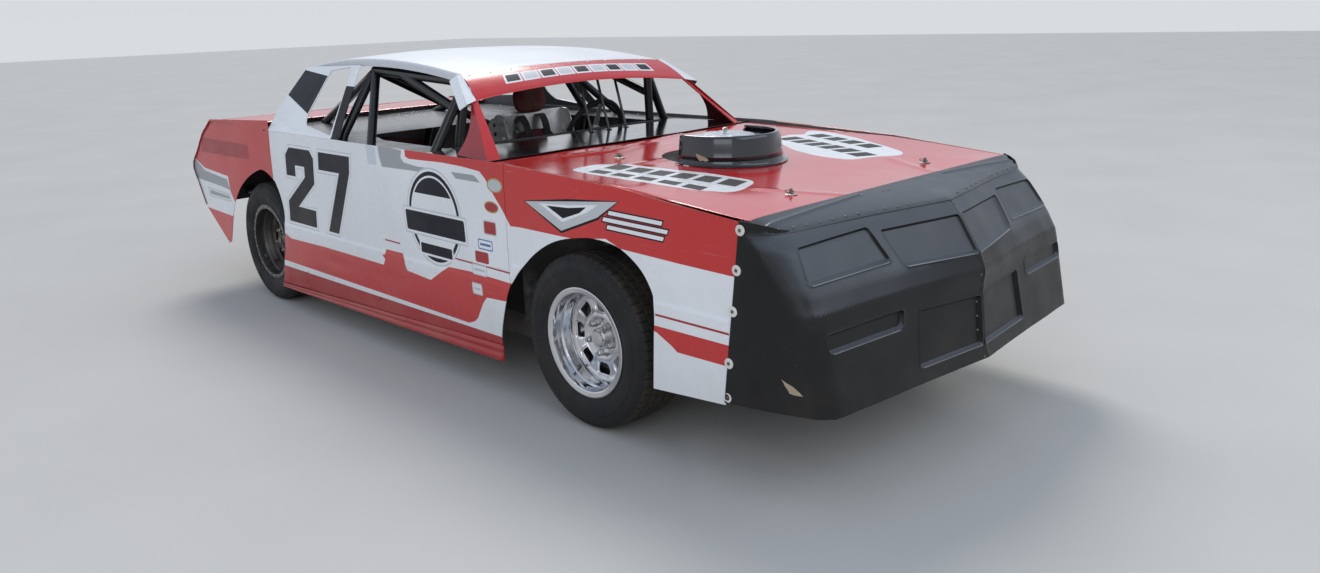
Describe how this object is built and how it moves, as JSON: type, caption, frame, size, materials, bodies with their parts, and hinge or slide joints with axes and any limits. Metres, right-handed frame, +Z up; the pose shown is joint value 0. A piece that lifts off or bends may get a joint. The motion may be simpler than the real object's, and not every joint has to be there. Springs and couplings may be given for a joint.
{
  "type": "stock car",
  "caption": "Dirt-track stock car with a caged open cabin, pinned hood with an air shroud, steered front wheels and wheels that roll.",
  "frame": {"origin": "on the ground under the centre of the bounding box", "axes": "the car faces -Y, +X is its left side, +Z is up"},
  "size_m": [1.716, 4.928, 1.375],
  "materials": {
    "frame_black": "satin black with dust",
    "cage_black": "gloss black",
    "deck_grey": "gloss grey sheet",
    "dash_black": "gloss black",
    "roof_white": "gloss white",
    "panel_red": "gloss red",
    "pillar_red": "gloss red",
    "sail_white": "gloss white with a dark panel",
    "door_livery": "gloss white with red band",
    "fender_livery": "gloss red over white",
    "quarter_livery": "gloss red",
    "skirt_red": "gloss dark red",
    "nose_black": "semi-gloss black plastic",
    "scoop_black": "gloss black plastic",
    "tail_livery": "gloss red over white",
    "radiator_aluminium": "cores with dust",
    "engine_iron": "painted and oily",
    "cleaner_chrome": "polished lid",
    "driveline_steel": "cast case and steel tube",
    "exhaust_steel": "heat stained",
    "tank_red": "red tank cover",
    "seat_aluminium": "bare sheet",
    "wheel_grip": "grip rubber on steel",
    "coil_steel": "painted spring steel",
    "knuckle_iron": "forged",
    "rod_steel": "steel tube",
    "tyre_rubber": "worn racing rubber",
    "rim_polished": "polished",
    "rim_black": "gloss black",
    "hub_steel": "turned steel"
  },
  "bodies": {
    "chassis": {"air_cleaner": "cleaner_chrome", "bumper_bars": "frame_black", "coil_springs": "coil_steel", "dash_panel": "dash_black", "door_bars": "cage_black", "door_panels": "door_livery", "driveline": "driveline_steel", "driver_seat": "seat_aluminium", "engine_block": "engine_iron", "exhaust_pipes": "exhaust_steel", "firewall": "deck_grey", "floor_pan": "deck_grey", "frame_crossmembers": "frame_black", "frame_rails": "frame_black", "frame_uprights": "frame_black", "front_arms": "frame_black", "front_fenders": "fender_livery", "fuel_cell": "tank_red", "interior_deck": "deck_grey", "nose_halves": "nose_black", "nose_top_panel": "nose_black", "pillar_covers": "pillar_red", "quarter_panels": "quarter_livery", "radiator": "radiator_aluminium", "rear_axle": "frame_black", "rear_deck": "panel_red", "rear_links": "frame_black", "rocker_skirts": "skirt_red", "roll_cage": "cage_black", "roof_panel": "roof_white", "sail_panels": "sail_white", "tail_panel": "tail_livery", "windshield_bars": "cage_black", "windshield_visor": "panel_red"},
    "hood": {"hood": "panel_red", "hood_scoop": "scoop_black"},
    "steering_wheel": {"steering_wheel": "wheel_grip"},
    "knuckle_left": {"knuckle_left": "knuckle_iron"},
    "knuckle_right": {"knuckle_right": "knuckle_iron"},
    "tie_rod": {"tie_rod": "rod_steel"},
    "wheel_front_left": {"hub_front_left": "hub_steel", "rim_front_left": "rim_polished", "tyre_front_left": "tyre_rubber"},
    "wheel_front_right": {"hub_front_right": "hub_steel", "rim_front_right": "rim_polished", "tyre_front_right": "tyre_rubber"},
    "wheel_rear_left": {"hub_rear_left": "hub_steel", "rim_rear_left": "rim_black", "tyre_rear_left": "tyre_rubber"},
    "wheel_rear_right": {"hub_rear_right": "hub_steel", "rim_rear_right": "rim_black", "tyre_rear_right": "tyre_rubber"}
  },
  "joints": [
    {"name": "steer_right", "type": "hinge", "parent": "chassis", "child": "knuckle_right", "pos_m": [-0.64, -1.28, 0.336], "axis": [0, 0, 1], "range_deg": [-25, 25]},
    {"name": "steer_left", "type": "hinge", "parent": "chassis", "child": "knuckle_left", "pos_m": [0.64, -1.28, 0.336], "axis": [0, 0, 1], "range_deg": [-25, 25]},
    {"name": "link_slide", "type": "slide", "parent": "chassis", "child": "tie_rod", "axis": [1, 0, 0], "range_m": [-0.045, 0.045]},
    {"name": "steering_turn", "type": "hinge", "parent": "chassis", "child": "steering_wheel", "pos_m": [0.33, -0.04, 0.925], "axis": [0, -0.922, -0.3872], "range_deg": [-300, 300]},
    {"name": "hood_lift", "type": "slide", "parent": "chassis", "child": "hood", "axis": [0, 0, 1], "range_m": [0, 0.3]},
    {"name": "spin_front_left", "type": "hinge", "parent": "knuckle_left", "child": "wheel_front_left", "pos_m": [0.726, -1.28, 0.336], "axis": [1, 0, 0], "continuous": true},
    {"name": "spin_front_right", "type": "hinge", "parent": "knuckle_right", "child": "wheel_front_right", "pos_m": [-0.726, -1.28, 0.336], "axis": [1, 0, 0], "continuous": true},
    {"name": "spin_rear_left", "type": "hinge", "parent": "chassis", "child": "wheel_rear_left", "pos_m": [0.714, 1.463, 0.336], "axis": [1, 0, 0], "continuous": true},
    {"name": "spin_rear_right", "type": "hinge", "parent": "chassis", "child": "wheel_rear_right", "pos_m": [-0.714, 1.463, 0.336], "axis": [1, 0, 0], "continuous": true}
  ],
  "couplings": [
    {"joint": "steer_left", "follows": "steer_right", "ratio": 1},
    {"joint": "link_slide", "follows": "steer_right", "m_per_rad": -0.1},
    {"joint": "steering_turn", "follows": "steer_right", "ratio": -12}
  ]
}
